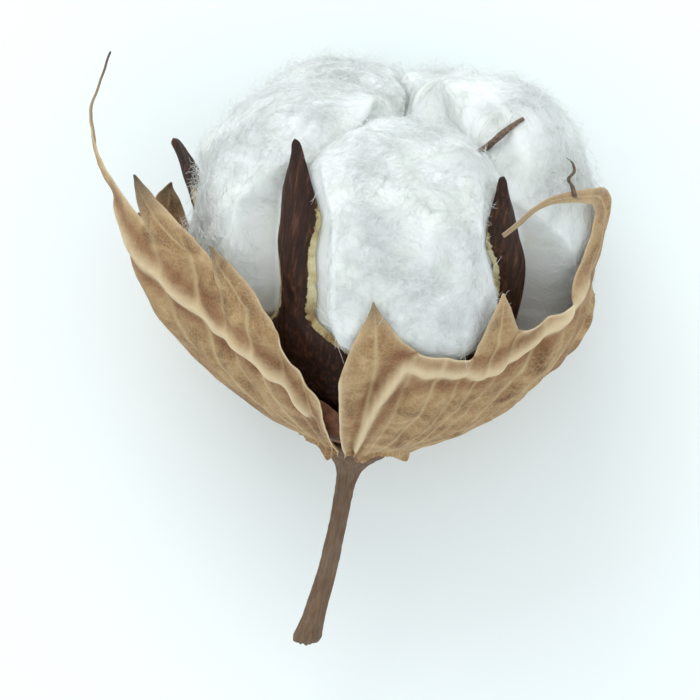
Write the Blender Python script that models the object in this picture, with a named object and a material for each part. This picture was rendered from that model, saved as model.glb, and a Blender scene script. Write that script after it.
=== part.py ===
"""An open, dry cotton boll, as picked, lying on its side on its back bract.

Lengths are in millimetres until a mesh is written. The boll is laid out in its own frame:
origin at the receptacle, +Z along its axis towards the lint, azimuth 0 at the side that
ends up on top (-Y) and growing towards +X. The empty "boll" then lays it on the floor.
"""

import math

import bmesh
import bpy
import numpy as np
from mathutils import Vector

MM = 0.001
GAP = 0.3
CURVE_STEPS = 12

# How the boll lies: stalk end down, leaning right of +Y seen from above.
LEAN = 9.0
NOD = 12.0
AXIS_HEIGHT = 20.6

# Lint: five locks, each a bulging ellipsoid between two valves.
CORE_RADIUS = 11.0
LOCK_MIDDLE = 31.0
LOCK_CENTRE = (14.0, 30.0)
LINT_ROUNDING = 1.6
LINT_FULLNESS = 2.4
LINT_OVER_FLOOR = 1.3
# Room between the lint and a valve's inner face and cut edge, and how steeply the lint
# comes out past that edge.
LINT_OFF_WALL = 0.66
LINT_OFF_EDGE = 1.25
LINT_SPILL = 2.0
# Above this height the locks part from each other, by this much for each mm.
LINT_PARTS_FROM = 36.0
LINT_PARTS_BY = 0.03
# The map of the lint that the bracts lie against: degrees, then (low, high, step) for the
# heights, and (low, high, count) for the radii that are tried.
LINT_MAP_TURN = 4.0
LINT_MAP_HEIGHTS = (4.0, 62.0, 2.0)
LINT_MAP_RADII = (12.0, 34.0, 89)
# How finely a lock's surface is found along each ray from its centre.
LOCK_SUBDIVISIONS = 4
RAY_STEP = 0.5
RAY_END = 36.0
RAY_HALVINGS = 24
# azimuth, reach from the core circle, half width, half height
LOCKS = (
    (6.0, 18.0, 17.0, 18.0),
    (82.0, 17.0, 15.0, 24.5),
    (152.0, 18.0, 15.0, 22.0),
    (220.0, 17.0, 15.5, 21.5),
    (290.0, 16.0, 15.0, 20.5),
)

# Valves: the outer meridian of the burr as (radius, height, share of the way to the
# next valve that the wall covers, wall thickness).
BURR = (
    (4.6, 1.8, 0.93, 1.6),
    (9.0, 4.6, 0.96, 1.7),
    (14.0, 9.0, 0.97, 1.7),
    (18.3, 15.5, 0.86, 1.6),
    (20.4, 20.0, 0.36, 1.5),
    (21.6, 24.0, 0.28, 1.4),
    (22.5, 28.0, 0.27, 1.3),
    (23.1, 32.0, 0.27, 1.2),
    (23.5, 36.0, 0.26, 1.1),
    (24.0, 40.0, 0.18, 0.9),
    (24.6, 43.5, 0.09, 0.7),
    (25.6, 46.5, 0.03, 0.6),
)
BURR_HINGE = 3
BURR_SWING_OVER = 12.0
KEEL = 0.7
KEEL_FROM = 4.0
KEEL_RISE = 12.0
MARGIN_SLANT = 1.2
MARGIN_SLANT_SHARE = 0.3
VALVE_ROWS = 30
# A valve's cross-section, as (share of the half width, 0 outside or 1 inside).
VALVE_SECTION = ((-1, 0), (-0.5, 0), (0, 0), (0.5, 0), (1, 0), (1, 1), (0.5, 1), (-0.5, 1), (-1, 1))
# azimuth, opening angle, length above the hinge, share of the sway
VALVES = (
    (-34.0, 0.0, 1.0, 0.0),
    (46.0, 0.0, 0.98, 1.0),
    (118.0, 4.0, 0.95, 0.4),
    (186.0, 0.0, 0.9, -0.5),
    (254.0, 20.0, 0.85, 0.0),
)
# How a valve bends sideways as it dries, as (height, degrees).
SWAY = (
    (15.5, 0.0),
    (19.0, 6.0),
    (22.0, 12.0),
    (25.0, 13.0),
    (28.0, 11.0),
    (31.0, 7.5),
    (34.6, 2.8),
    (37.6, -1.2),
    (40.0, -4.4),
    (43.5, -8.6),
    (46.5, -12.0),
)

# Bracts: mid-surface meridian of the cup as (radius, height), and the blade's thickness.
CUP = (
    (5.4, 1.0),
    (9.0, 2.3),
    (14.0, 4.9),
    (18.5, 8.3),
    (22.0, 11.7),
    (25.0, 15.6),
    (27.6, 20.4),
    (29.2, 25.8),
    (29.9, 31.0),
    (30.2, 36.0),
    (30.2, 52.0),
)
BRACT_THICK = 0.5
BRACT_OFF_LINT = 0.85
BLADE_ROWS = 8
TOOTH_ROWS = 7
TOOTH_COLUMNS = 4
TOOTH_RADIUS = 30.0
TOOTH_TURN = 1.6
# How far the left bract's outer side stands off the cup, as (height, extra radius).
FLARE = (
    (1.0, 0.0),
    (2.7, 2.2),
    (5.2, 2.4),
    (9.5, 3.6),
    (13.2, 5.0),
    (18.5, 5.4),
    (22.7, 6.2),
    (28.1, 7.7),
    (35.1, 11.0),
    (42.1, 13.4),
    (52.0, 11.6),
)
FLARE_AZIMUTH = 272.0
FLARE_SPREAD = 44.0
# Notches are (azimuth, height). Between two notches lies a plain edge or a tooth, which is
# a centre line of (azimuth, height, radius outside the cup), half its width at its end, and
# how fast it narrows above its root: 1 for a triangle, more for a tooth that ends as a strip.
BRACTS = {
    "bract_left": {
        "notches": ((345, 10.5), (332, 19.5), (311, 25), (292, 29), (262, 27), (242, 20), (224, 9)),
        "teeth": (
            None,
            (((314, 26, 0.2), (309, 29.5, 0.6)), 0.2, 1.0),
            (((293, 31, 0), (287, 36, -0.8)), 0.25, 1.0),
            (((275, 33, 0), (271, 39, 0), (270, 45, 0), (269, 50.5, 0)), 0.3, 3.0),
            (((250, 26, 0), (247, 31, 0.4)), 0.2, 1.1),
            (((235, 20, 0), (236, 25, 0)), 0.2, 1.0),
        ),
        "flared": True,
    },
    "bract_right": {
        "notches": ((-8, 15), (13, 21), (31, 20.5), (43, 25), (62, 29), (87, 29), (98, 11)),
        "teeth": (
            (((1, 23, 0), (-1, 27.5, 0.3)), 0.2, 1.3),
            None,
            (((36, 25, 0.3), (34, 30.5, 0.6)), 0.2, 1.0),
            None,
            (((77, 34, -0.6), (78, 38, -0.6), (76, 41.3, -0.2), (66, 43.5, 0.2),
              (52, 44, 0.3), (41, 43, 0.3), (30.5, 38.6, 0.3)), 0.6, 3.5),
            (((93, 22, 0), (94, 27, 0)), 0.2, 1.1),
        ),
        "flared": False,
    },
    "bract_back": {
        "notches": ((108, 11), (124, 22), (146, 26), (170, 28), (190, 26), (212, 11)),
        "teeth": (
            (((116, 22, 0), (115, 29, 1.0)), 0.2, 1.1),
            (((136, 28, 0), (136, 36, 0.5)), 0.2, 1.1),
            (((158, 31, 0), (159, 41, 0)), 0.2, 1.2),
            (((180, 31, 0), (181, 38, 0)), 0.2, 1.1),
            (((198, 22, 0), (199, 29, 0)), 0.2, 1.1),
        ),
        "flared": False,
    },
}

# Calyx: mid-surface meridian between the bracts and the burr, and its wavy rim.
CALYX = ((5.4, 1.75), (9.0, 3.15), (12.0, 4.9), (14.3, 6.9))
CALYX_THICK = 0.35
CALYX_LOBES = 5
CALYX_SIDES = 40
CALYX_ROWS = 5
CALYX_WAVE = 0.12
CALYX_DROP = 8.0

# Stalk: centre line from the receptacle to its broken end, as (x, y, z, radius).
STALK = (
    (0.0, 0.0, 1.35, 3.6),
    (0.0, 0.0, 0.6, 4.7),
    (0.0, 0.0, -0.5, 4.2),
    (-0.1, 0.0, -2.0, 2.5),
    (-0.3, 0.1, -4.5, 1.45),
    (-0.6, 0.2, -12.0, 1.25),
    (-1.1, 0.1, -19.0, 1.35),
    (-1.9, -0.1, -25.0, 1.6),
    (-2.3, -0.2, -27.5, 2.0),
    (-2.6, -0.3, -28.6, 1.7),
)
STALK_SIDES = 12
STALK_ROWS = 26

# Sliver of bract caught on the lint, as (x, place along the boll seen from above). Its
# depth follows the lint, which is looked for from above the boll down.
SLIVER = ((10.4, 43.4), (11.6, 44.2), (13.4, 46.3), (14.6, 47.6), (16.0, 48.9))
SLIVER_RADII = (0.25, 0.5, 0.45, 0.5, 0.3)
SLIVER_SIDES = 8
SLIVER_ROWS = 12
SLIVER_FROM = 30.0
SLIVER_STEP = 0.1


def material(name, colour, roughness):
    """A Principled material with one colour, given as linear red, green and blue."""
    made = bpy.data.materials.new(name)
    made.use_nodes = True
    shader = made.node_tree.nodes["Principled BSDF"]
    shader.inputs["Base Color"].default_value = (*colour, 1.0)
    shader.inputs["Roughness"].default_value = roughness
    shader.inputs["Metallic"].default_value = 0.0
    return made


def smooth_curve(points, count):
    """Resample points evenly along a Catmull-Rom curve through them."""
    knots = np.array(points, dtype=float)
    ends = np.vstack([2 * knots[0] - knots[1], knots, 2 * knots[-1] - knots[-2]])
    dense = []
    for a, b, c, d in zip(ends, ends[1:], ends[2:], ends[3:]):
        for t in np.linspace(0.0, 1.0, CURVE_STEPS, endpoint=False):
            dense.append(0.5 * (2 * b + (c - a) * t + (2 * a - 5 * b + 4 * c - d) * t**2
                                + (3 * b - a - 3 * c + d) * t**3))
    dense.append(knots[-1])
    dense = np.array(dense)
    run = np.concatenate([[0.0], np.cumsum(np.linalg.norm(np.diff(dense, axis=0), axis=1))])
    wanted = np.linspace(0.0, run[-1], count)
    return np.column_stack([np.interp(wanted, run, column) for column in dense.T])


def boll_point(radius, azimuth, height):
    """A point of the boll's frame from its cylindrical place."""
    turn = math.radians(azimuth)
    return np.array([radius * math.sin(turn), -radius * math.cos(turn), height])


def floor_height(points):
    """Height over the floor of points in the boll's frame."""
    nod = math.radians(NOD)
    return AXIS_HEIGHT - points[..., 1] * math.cos(nod) + points[..., 2] * math.sin(nod)


def wrapped(degrees):
    return (degrees + 180.0) % 360.0 - 180.0


def smooth_max(first, second, width):
    blend = np.maximum(width - np.abs(first - second), 0.0) / width
    return np.maximum(first, second) + blend**2 * width / 4


def valve_places():
    """Each valve's azimuth, with half the angle to the valve before it and after it."""
    places = [valve[0] for valve in VALVES]
    gaps = [(after - before) % 360.0 for before, after in zip(places, places[1:] + places[:1])]
    return [(place, gaps[index - 1] / 2, gaps[index] / 2) for index, place in enumerate(places)]


def off_burr(radius, height, azimuth):
    """How far points lie outside the burr's inner face, negative well inside it."""
    outer = np.array([row[:2] for row in BURR])
    along = np.gradient(outer, axis=0)
    outward = np.column_stack([along[:, 1], -along[:, 0]])
    outward /= np.linalg.norm(outward, axis=1)[:, None]
    inner = outer - outward * np.array([row[3] for row in BURR])[:, None]
    inner = np.vstack([[0.0, inner[0, 1]], inner])
    best = np.full(radius.shape, 1e9)
    signed = np.zeros(radius.shape)
    for (r0, z0), (r1, z1) in zip(inner, inner[1:]):
        span = np.array([r1 - r0, z1 - z0])
        length = np.linalg.norm(span)
        share = np.clip(((radius - r0) * span[0] + (height - z0) * span[1]) / length**2, 0, 1)
        off_r = radius - r0 - share * span[0]
        off_z = height - z0 - share * span[1]
        distance = np.hypot(off_r, off_z)
        side = np.sign(off_r * span[1] - off_z * span[0])
        nearer = distance < best
        best = np.where(nearer, distance, best)
        signed = np.where(nearer, side * distance, signed)
    share = np.interp(height, [row[1] for row in BURR], [row[2] for row in BURR])
    sway = np.interp(height, *zip(*SWAY))
    beyond = np.full(radius.shape, 1e9)
    for (place, before, after), valve in zip(valve_places(), VALVES):
        turn = wrapped(azimuth - place - sway * valve[3])
        edge = np.where(turn > 0, after, before) * share
        beyond = np.minimum(beyond, np.radians(np.abs(turn) - edge) * radius)
    return signed + LINT_OFF_WALL - LINT_SPILL * np.maximum(beyond - LINT_OFF_EDGE, 0.0)


def lock_field(points, lock):
    """Negative inside a lock of lint, positive outside it."""
    azimuth, reach, half_width, half_height = lock
    radius = np.hypot(points[..., 0], points[..., 1])
    around = np.degrees(np.arctan2(points[..., 0], -points[..., 1]))
    turn = np.radians(wrapped(around - azimuth))
    shares = (radius * np.cos(turn) - CORE_RADIUS) / reach, radius * np.sin(turn) / half_width
    shares += ((points[..., 2] - LOCK_MIDDLE) / half_height,)
    bulge = sum(np.abs(share) ** LINT_FULLNESS for share in shares) ** (1.0 / LINT_FULLNESS)
    field = (bulge - 1.0) * half_width
    parting = GAP / 2 + LINT_PARTS_BY * np.maximum(points[..., 2] - LINT_PARTS_FROM, 0.0)
    turns = [wrapped(valve[0] - azimuth) for valve in VALVES]
    before = max(place for place in turns if place < 0)
    after = min(place for place in turns if place > 0)
    for edge, side in ((before, -1.0), (after, 1.0)):
        plane = radius * np.sin(side * (turn - math.radians(edge))) + parting
        field = smooth_max(field, plane, LINT_ROUNDING)
    field = smooth_max(field, off_burr(radius, points[..., 2], around), LINT_ROUNDING)
    return np.maximum(field, LINT_OVER_FLOOR - floor_height(points))


def lint_map():
    """The lint's outermost radius on a grid of azimuth and height, grown by one cell."""
    azimuths = np.radians(np.arange(0.0, 360.0, LINT_MAP_TURN))
    heights = np.arange(*LINT_MAP_HEIGHTS)
    radii = np.linspace(*LINT_MAP_RADII)
    turn, height, radius = np.meshgrid(azimuths, heights, radii, indexing="ij")
    points = np.stack([radius * np.sin(turn), -radius * np.cos(turn), height], axis=-1)
    inside = np.any([lock_field(points, lock) < 0.0 for lock in LOCKS], axis=0)
    outermost = np.max(np.where(inside, radius, 0.0), axis=2)
    grown = outermost
    for axis in (0, 1):
        grown = np.max([np.roll(grown, step, axis=axis) for step in (-1, 0, 1)], axis=0)
    return grown


def lint_radius(azimuth, height, grid):
    """Read the map of the lint between its grid points."""
    across = (azimuth % 360.0) / LINT_MAP_TURN
    low, _, step = LINT_MAP_HEIGHTS
    up = min(max((height - low) / step, 0.0), grid.shape[1] - 1.001)
    column, row = int(across), int(up)
    beside = (column + 1) % grid.shape[0]
    near = grid[column, row] * (1 - up + row) + grid[column, row + 1] * (up - row)
    far = grid[beside, row] * (1 - up + row) + grid[beside, row + 1] * (up - row)
    return near + (far - near) * (across - column)


def new_object(name, vertices, faces, look, parent):
    """A mesh object from points in millimetres, its faces turned outwards."""
    mesh = bpy.data.meshes.new(name)
    mesh.from_pydata([Vector(v) * MM for v in vertices], [], faces)
    shaped = bmesh.new()
    shaped.from_mesh(mesh)
    bmesh.ops.recalc_face_normals(shaped, faces=shaped.faces)
    shaped.to_mesh(mesh)
    shaped.free()
    mesh.shade_smooth()
    mesh.materials.append(look)
    made = bpy.data.objects.new(name, mesh)
    bpy.context.scene.collection.objects.link(made)
    made.parent = parent
    return made


def loft(sections):
    """Vertices and faces of a closed skin over rings that all have the same count."""
    sides = len(sections[0])
    vertices = [point for ring in sections for point in ring]
    faces = [tuple(range(sides)), tuple(range(len(vertices) - sides, len(vertices)))]
    for row in range(len(sections) - 1):
        for side in range(sides):
            here = row * sides + side
            beside = row * sides + (side + 1) % sides
            faces.append((here, beside, beside + sides, here + sides))
    return vertices, faces


def tube(path, radii, sides):
    """Rings of a round tube along a path."""
    path = np.array(path)
    along = np.gradient(path, axis=0)
    rings = []
    for centre, direction, radius in zip(path, along, radii):
        frame = Vector(direction).to_track_quat("Z", "Y").to_matrix()
        ring = []
        for side in range(sides):
            turn = 2 * math.pi * side / sides
            ring.append(centre + radius * np.array(frame @ Vector((math.cos(turn), math.sin(turn), 0))))
        rings.append(ring)
    return rings


def make_stalk(parent):
    rows = smooth_curve(STALK, STALK_ROWS)
    vertices, faces = loft(tube(rows[:, :3], rows[:, 3], STALK_SIDES))
    look = material("stalk_bark", (0.155, 0.085, 0.050), 0.75)
    return new_object("peduncle", vertices, faces, look, parent)


def make_calyx(parent):
    rows = smooth_curve(CALYX, CALYX_ROWS)
    outward = np.column_stack([np.gradient(rows[:, 1]), -np.gradient(rows[:, 0])])
    outward /= np.linalg.norm(outward, axis=1)[:, None]
    profile = np.vstack([rows + outward * CALYX_THICK / 2, (rows - outward * CALYX_THICK / 2)[::-1]])
    rings = []
    for side in range(CALYX_SIDES):
        azimuth = 360.0 * side / CALYX_SIDES
        wave = 1.0 - CALYX_WAVE * (0.5 + 0.5 * math.cos(math.radians(azimuth * CALYX_LOBES)))
        ring = []
        for radius, height in profile:
            share = (radius - profile[0, 0]) / (profile[:, 0].max() - profile[0, 0])
            shrink = 1.0 - (1.0 - wave) * max(share, 0.0) ** 2
            ring.append(boll_point(radius * shrink, azimuth, height - (1.0 - shrink) * CALYX_DROP))
        rings.append(ring)
    sides = len(profile)
    vertices = [point for ring in rings for point in ring]
    faces = []
    for row in range(CALYX_SIDES):
        following = (row + 1) % CALYX_SIDES
        for side in range(sides):
            beside = (side + 1) % sides
            faces.append((row * sides + side, row * sides + beside,
                          following * sides + beside, following * sides + side))
    look = material("dry_calyx", (0.205, 0.080, 0.045), 0.7)
    return new_object("calyx", vertices, faces, look, parent)


def opened(radius, height, angle, length):
    """Swing a point of the burr's meridian outwards about the rim of its bowl."""
    hinge_r, hinge_z = BURR[BURR_HINGE][:2]
    if height <= hinge_z:
        return radius, height
    off_r = (radius - hinge_r) * length
    off_z = (height - hinge_z) * length
    turn = math.radians(angle) * min(1.0, off_z / BURR_SWING_OVER)
    return (hinge_r + off_r * math.cos(turn) + off_z * math.sin(turn),
            hinge_z + off_z * math.cos(turn) - off_r * math.sin(turn))


def make_valve(index, parent):
    azimuth, angle, length, swaying = VALVES[index]
    _, before, after = valve_places()[index]
    rows = smooth_curve(BURR, VALVE_ROWS)
    meridian = rows[:, :2]
    outward = np.column_stack([np.gradient(meridian[:, 1]), -np.gradient(meridian[:, 0])])
    outward /= np.linalg.norm(outward, axis=1)[:, None]
    rings = []
    for (radius, height, share, thick), (out_r, out_z) in zip(rows, outward):
        reach = {-1.0: before * share, 1.0: after * share}
        slant = min(MARGIN_SLANT, MARGIN_SLANT_SHARE * radius * math.radians(after * share))
        ring = []
        for across, depth in VALVE_SECTION:
            side = math.copysign(1.0, across)
            spread = abs(across) * (reach[side] - math.degrees(GAP / 2 / radius))
            if depth == 0:
                spread -= abs(across) * math.degrees(slant / radius)
            keel = KEEL * (1.0 - across**2) * min(1.0, max(0.0, height - KEEL_FROM) / KEEL_RISE)
            lift = keel if depth == 0 else -thick
            place_r, place_z = opened(radius + out_r * lift, height + out_z * lift, angle, length)
            bent = swaying * np.interp(height, *zip(*SWAY))
            ring.append(boll_point(place_r, azimuth + bent + side * spread, place_z))
        rings.append(ring)
    vertices, faces = loft(rings)
    look = material(f"burr_wood_{index + 1}", (0.060, 0.024, 0.014), 0.6)
    return new_object(f"valve_{index + 1}", vertices, faces, look, parent)


def make_lock(index, parent):
    """Push the points of an icosphere out from the lock's centre until they leave the lock."""
    lock = LOCKS[index]
    shaped = bmesh.new()
    bmesh.ops.create_icosphere(shaped, subdivisions=LOCK_SUBDIVISIONS, radius=1.0)
    rays = np.array([vertex.co[:] for vertex in shaped.verts])
    centre = boll_point(LOCK_CENTRE[0], lock[0], LOCK_CENTRE[1])
    steps = np.arange(RAY_STEP, RAY_END, RAY_STEP)
    field = lock_field(centre + rays[:, None, :] * steps[None, :, None], lock)
    first = np.argmax(field > 0.0, axis=1)
    near = steps[first] - RAY_STEP
    far = steps[first]
    for _ in range(RAY_HALVINGS):
        middle = (near + far) / 2
        outside = lock_field(centre + rays * middle[:, None], lock) > 0.0
        far = np.where(outside, middle, far)
        near = np.where(outside, near, middle)
    for vertex, ray, reach in zip(shaped.verts, rays, near):
        vertex.co = Vector((centre + ray * reach) * MM)
    name = f"lock_{index + 1}"
    mesh = bpy.data.meshes.new(name)
    shaped.to_mesh(mesh)
    shaped.free()
    mesh.shade_smooth()
    mesh.materials.append(material(f"cotton_lint_{index + 1}", (0.83, 0.86, 0.84), 0.95))
    made = bpy.data.objects.new(name, mesh)
    bpy.context.scene.collection.objects.link(made)
    made.parent = parent
    return made


def bract_surface(azimuth, height, off_cup, flared, lint):
    """A point of a bract's mid-surface, kept off the lint and over the floor."""
    radius = float(np.interp(height, [z for _, z in CUP], [r for r, _ in CUP])) + off_cup
    if flared:
        near = min(1.0, abs(wrapped(azimuth - FLARE_AZIMUTH)) / FLARE_SPREAD)
        extra = float(np.interp(height, [z for z, _ in FLARE], [r for _, r in FLARE]))
        radius += extra * math.cos(near * math.pi / 2) ** 2
    radius = max(radius, lint_radius(azimuth, height, lint) + BRACT_OFF_LINT)
    towards_floor = -math.cos(math.radians(azimuth)) * math.cos(math.radians(NOD))
    if towards_floor > 0.0:
        room = AXIS_HEIGHT + height * math.sin(math.radians(NOD)) - BRACT_THICK / 2
        radius = min(radius, room / towards_floor)
    return boll_point(radius, azimuth, height)


def make_bract(name, lint, parent):
    """A blade up to its notches, then one strip for each tooth, thickened by a modifier."""
    shape = BRACTS[name]
    notches = shape["notches"]
    columns = (len(notches) - 1) * TOOTH_COLUMNS + 1
    knots = np.linspace(0, columns - 1, len(notches))
    azimuths = np.interp(range(columns), knots, [n[0] for n in notches])
    tops = np.interp(range(columns), knots, [n[1] for n in notches])
    base = CUP[0][1]
    cup = np.array(CUP)
    run = np.concatenate([[0.0], np.cumsum(np.linalg.norm(np.diff(cup, axis=0), axis=1))])
    vertices = []
    for row in range(BLADE_ROWS + 1):
        for azimuth, top in zip(azimuths, tops):
            length = np.interp(top, cup[:, 1], run) * row / BLADE_ROWS
            height = float(np.interp(length, run, cup[:, 1])) if row else base
            vertices.append(bract_surface(azimuth, height, 0.0, shape["flared"], lint))
    faces = []
    for row in range(BLADE_ROWS):
        for column in range(columns - 1):
            here = row * columns + column
            faces.append((here, here + 1, here + 1 + columns, here + columns))
    for number, tooth in enumerate(shape["teeth"]):
        if tooth is None:
            continue
        points, tip_half_width, narrowing = tooth
        first = BLADE_ROWS * columns + number * TOOTH_COLUMNS
        root = [first + column for column in range(TOOTH_COLUMNS + 1)]
        start = number * TOOTH_COLUMNS
        places = [(azimuths[start + c], tops[start + c]) for c in range(TOOTH_COLUMNS + 1)]
        middle = np.mean(places, axis=0)
        line = smooth_curve(((*middle, 0.0), *points), TOOTH_ROWS + 1)
        span = np.subtract(notches[number + 1], notches[number])
        root_half_width = math.hypot(math.radians(span[0]) * TOOTH_RADIUS, span[1]) / 2
        before = root
        for row in range(1, TOOTH_ROWS + 1):
            share = row / TOOTH_ROWS
            narrow = (1.0 - share) ** narrowing
            turned = min(1.0, share * TOOTH_TURN)
            half_width = math.copysign((root_half_width * narrow + tip_half_width) * turned, span[0])
            azimuth, height, off_cup = line[row]
            ahead = (line[row] - line[row - 1])[:2] * (math.radians(TOOTH_RADIUS), 1.0)
            ahead /= np.linalg.norm(ahead)
            following = []
            for column, place in enumerate(places):
                across = (column / TOOTH_COLUMNS * 2 - 1) * half_width
                kept = (place - middle) * narrow * (1.0 - turned)
                turned_by = math.degrees(across * ahead[1] / TOOTH_RADIUS)
                vertices.append(bract_surface(azimuth + kept[0] + turned_by,
                                              height + kept[1] - across * ahead[0],
                                              off_cup, shape["flared"], lint))
                following.append(len(vertices) - 1)
            for column in range(TOOTH_COLUMNS):
                faces.append((before[column], before[column + 1], following[column + 1], following[column]))
            before = following
    look = material(f"dry_{name}", (0.43, 0.27, 0.15), 0.8)
    made = new_object(name, vertices, faces, look, parent)
    walls = made.modifiers.new("walls", "SOLIDIFY")
    walls.thickness = BRACT_THICK * MM
    walls.offset = 0.0
    return made


def make_sliver(parent):
    """The sliver follows the lint's top: its depth is found where the lint begins."""
    nod = math.radians(NOD)
    path = []
    for side, up in smooth_curve(SLIVER, SLIVER_ROWS):
        toward = SLIVER_FROM
        while toward > -SLIVER_FROM:
            height = (up + toward * math.sin(nod)) / math.cos(nod)
            point = np.array([[side, -toward, height]])
            if min(lock_field(point, lock)[0] for lock in LOCKS) < GAP + max(SLIVER_RADII):
                break
            toward -= SLIVER_STEP
        path.append((side, -toward, height))
    radii = smooth_curve([(radius,) for radius in SLIVER_RADII], SLIVER_ROWS)[:, 0]
    vertices, faces = loft(tube(smooth_curve(path, SLIVER_ROWS), radii, SLIVER_SIDES))
    look = material("dry_sliver", (0.10, 0.06, 0.045), 0.8)
    return new_object("bract_sliver", vertices, faces, look, parent)


def lie_down(boll):
    """Turn the boll onto its side and centre its box over the origin."""
    boll.rotation_euler = (math.radians(NOD - 90.0), 0.0, math.radians(-LEAN))
    boll.location = (0.0, 0.0, AXIS_HEIGHT * MM)
    bpy.context.view_layer.update()
    graph = bpy.context.evaluated_depsgraph_get()
    corners = []
    for piece in boll.children:
        seen = piece.evaluated_get(graph)
        corners.extend(seen.matrix_world @ vertex.co for vertex in seen.data.vertices)
    for axis in (0, 1):
        low = min(corner[axis] for corner in corners)
        high = max(corner[axis] for corner in corners)
        boll.location[axis] = -(low + high) / 2
    bpy.context.view_layer.update()


def main():
    for old in list(bpy.data.objects):
        bpy.data.objects.remove(old, do_unlink=True)
    boll = bpy.data.objects.new("boll", None)
    bpy.context.scene.collection.objects.link(boll)
    make_stalk(boll)
    make_calyx(boll)
    lint = lint_map()
    for name in BRACTS:
        make_bract(name, lint, boll)
    for index in range(len(VALVES)):
        make_valve(index, boll)
    for index in range(len(LOCKS)):
        make_lock(index, boll)
    make_sliver(boll)
    lie_down(boll)


main()
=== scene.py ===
"""The finish of an open, dry cotton boll that lies on its side on a pale table."""

import math

import bpy
import numpy as np
from mathutils import Matrix, Vector, noise
from mathutils.bvhtree import BVHTree


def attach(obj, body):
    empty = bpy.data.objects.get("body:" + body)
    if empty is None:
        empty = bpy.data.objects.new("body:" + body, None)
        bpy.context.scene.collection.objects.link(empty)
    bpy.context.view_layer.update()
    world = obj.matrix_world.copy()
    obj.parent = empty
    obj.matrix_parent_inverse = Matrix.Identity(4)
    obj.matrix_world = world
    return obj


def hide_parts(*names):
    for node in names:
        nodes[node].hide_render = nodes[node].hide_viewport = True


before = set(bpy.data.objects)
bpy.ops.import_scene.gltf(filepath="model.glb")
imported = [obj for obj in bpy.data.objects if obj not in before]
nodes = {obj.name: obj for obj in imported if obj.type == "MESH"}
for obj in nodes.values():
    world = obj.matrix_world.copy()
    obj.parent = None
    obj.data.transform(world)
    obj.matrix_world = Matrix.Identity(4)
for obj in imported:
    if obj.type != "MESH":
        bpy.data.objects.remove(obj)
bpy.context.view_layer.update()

# ---- Stalk --------------------------------------------------------------------------
# The dried peduncle: a thin round woody stem, flared at the top into the receptacle that
# carries every other piece, and broken off at the swollen joint at its lower end.

# Everything is modelled in millimetres in the boll's own frame, which has its origin at the
# receptacle, +Z towards the lint and azimuth 0 on the side that lies on top.
MM = 0.001
LEAN = math.radians(9.0)
NOD = math.radians(12.0)
AXIS_HEIGHT = 20.6

STALK = (
    (0.0, 0.0, 1.35, 3.6),
    (0.0, 0.0, 0.6, 4.7),
    (0.0, 0.0, -0.5, 4.2),
    (-0.1, 0.0, -2.0, 2.5),
    (-0.3, 0.1, -4.5, 1.45),
    (-0.6, 0.2, -12.0, 1.25),
    (-1.1, 0.1, -19.0, 1.35),
    (-1.9, -0.1, -25.0, 1.6),
    (-2.3, -0.2, -27.5, 2.0),
    (-2.6, -0.3, -28.6, 1.7),
)

# The flat top of the stalk is centred on the boll's axis, so it tells where the boll lies.
boll_axis = Vector((math.sin(LEAN) * math.cos(NOD), math.cos(LEAN) * math.cos(NOD), math.sin(NOD)))
corners = np.unique(np.round([vertex.co for vertex in nodes["peduncle"].data.vertices], 6), axis=0)
along = corners @ np.array(boll_axis)
cap = corners[along > along.max() - 0.1 * MM]
hub = Vector(cap.mean(axis=0)) - boll_axis * STALK[0][2] * MM
lie_down = (
    Matrix.Translation(hub)
    @ Matrix.Rotation(-LEAN, 4, "Z")
    @ Matrix.Rotation(NOD - math.pi / 2, 4, "X")
    @ Matrix.Scale(MM, 4)
)


def smooth_curve(points, count):
    """Resample points evenly along a Catmull-Rom curve through them."""
    knots = np.array(points, dtype=float)
    ends = np.vstack([2 * knots[0] - knots[1], knots, 2 * knots[-1] - knots[-2]])
    dense = []
    for a, b, c, d in zip(ends, ends[1:], ends[2:], ends[3:]):
        for t in np.linspace(0.0, 1.0, 16, endpoint=False):
            dense.append(0.5 * (2 * b + (c - a) * t + (2 * a - 5 * b + 4 * c - d) * t**2
                                + (3 * b - a - 3 * c + d) * t**3))
    dense.append(knots[-1])
    dense = np.array(dense)
    run = np.concatenate([[0.0], np.cumsum(np.linalg.norm(np.diff(dense, axis=0), axis=1))])
    wanted = np.linspace(0.0, run[-1], count)
    return np.column_stack([np.interp(wanted, run, column) for column in dense.T])


def take_up(name):
    """Name the object just added and give it back."""
    piece = bpy.context.object
    piece.name = name
    piece.data.name = name
    return piece


def apply_modifier(piece, kind, **settings):
    """Add a modifier, set it and apply it."""
    bpy.ops.object.select_all(action="DESELECT")
    piece.select_set(True)
    bpy.context.view_layer.objects.active = piece
    modifier = piece.modifiers.new(kind.lower(), kind)
    for key, value in settings.items():
        setattr(modifier, key, value)
    bpy.ops.object.modifier_apply(modifier=modifier.name)


def lay(piece):
    """Store where each point grew, in millimetres of the boll's frame, then lay it down."""
    mesh = piece.data
    grown = mesh.attributes.new("grown", "FLOAT_VECTOR", "POINT")
    places = np.empty(len(mesh.vertices) * 3)
    mesh.vertices.foreach_get("co", places)
    grown.data.foreach_set("vector", places)
    mesh.transform(lie_down)
    mesh.shade_smooth()
    mesh.update()
    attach(piece, "root")


def linear(hex_colour):
    """An sRGB hex colour as linear red, green, blue and alpha."""
    channels = [int(hex_colour[i:i + 2], 16) / 255 for i in (1, 3, 5)]
    return [c / 12.92 if c <= 0.04045 else ((c + 0.055) / 1.055) ** 2.4 for c in channels] + [1.0]


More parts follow.
